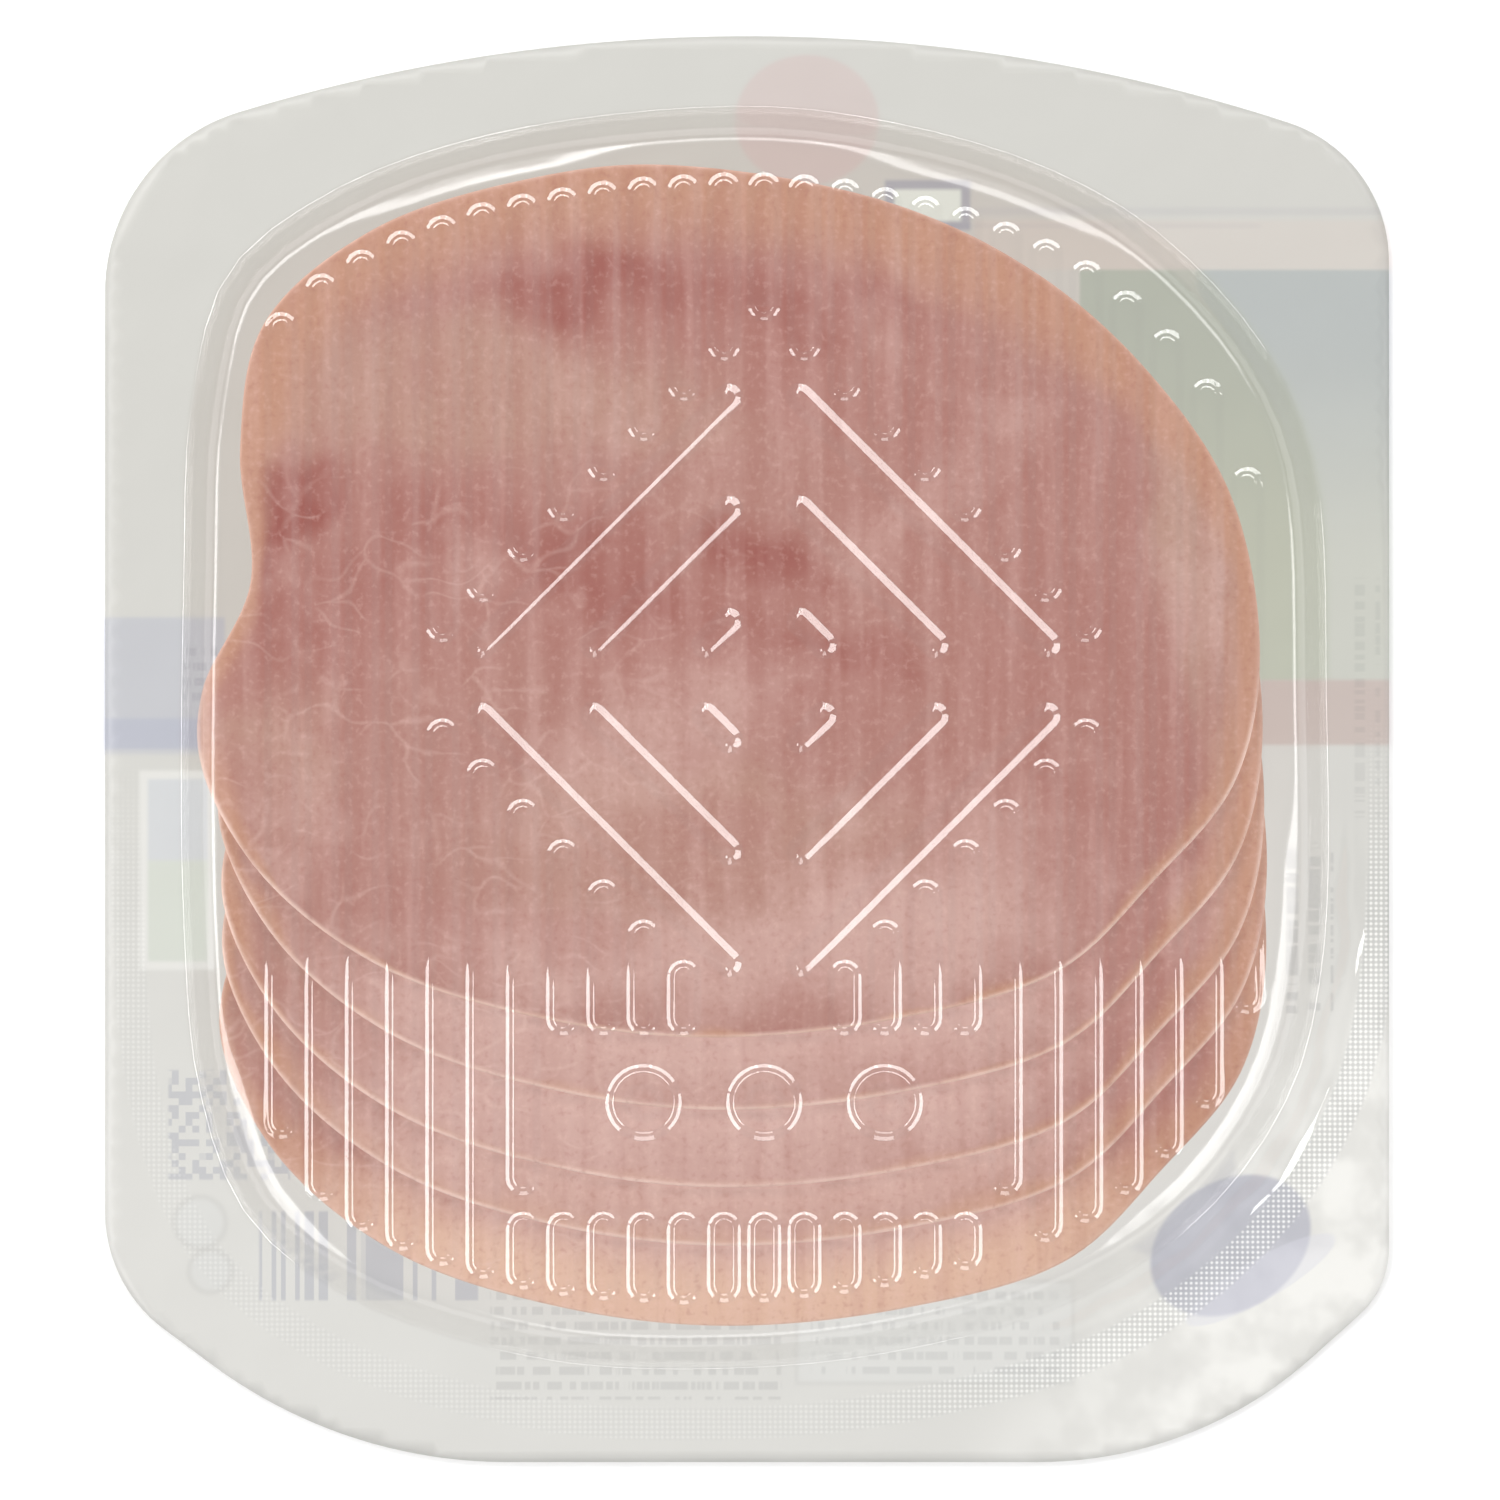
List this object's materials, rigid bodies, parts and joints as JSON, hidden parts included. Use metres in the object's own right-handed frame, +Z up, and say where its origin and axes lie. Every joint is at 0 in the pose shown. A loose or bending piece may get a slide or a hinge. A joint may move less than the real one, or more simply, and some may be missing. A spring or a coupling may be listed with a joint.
{
  "type": "sealed pack of sliced cooked ham",
  "caption": "Sealed retail pack of thin cooked ham slices, fanned in a shallow clear formed tray closed by a pale printed lid film, lying with the tray floor upward",
  "frame": {"origin": "middle of the pack's footprint, on the surface the lid film lies on", "axes": "+Z up through the tray floor, +Y towards the pack's arched top edge, +X across the pack"},
  "size_m": [0.15, 0.1666, 0.0129],
  "materials": {
    "lid_film": "satin white-backed film, printed on its outer face",
    "ham": "moist cooked ham",
    "clear_tray": "clear glossy thermoformed sheet"
  },
  "bodies": {
    "root": {"lid_film": "lid_film", "ham_slice_1": "ham", "ham_slice_2": "ham", "ham_slice_3": "ham", "ham_slice_4": "ham", "ham_slice_5": "ham", "tray": "clear_tray"}
  },
  "joints": []
}
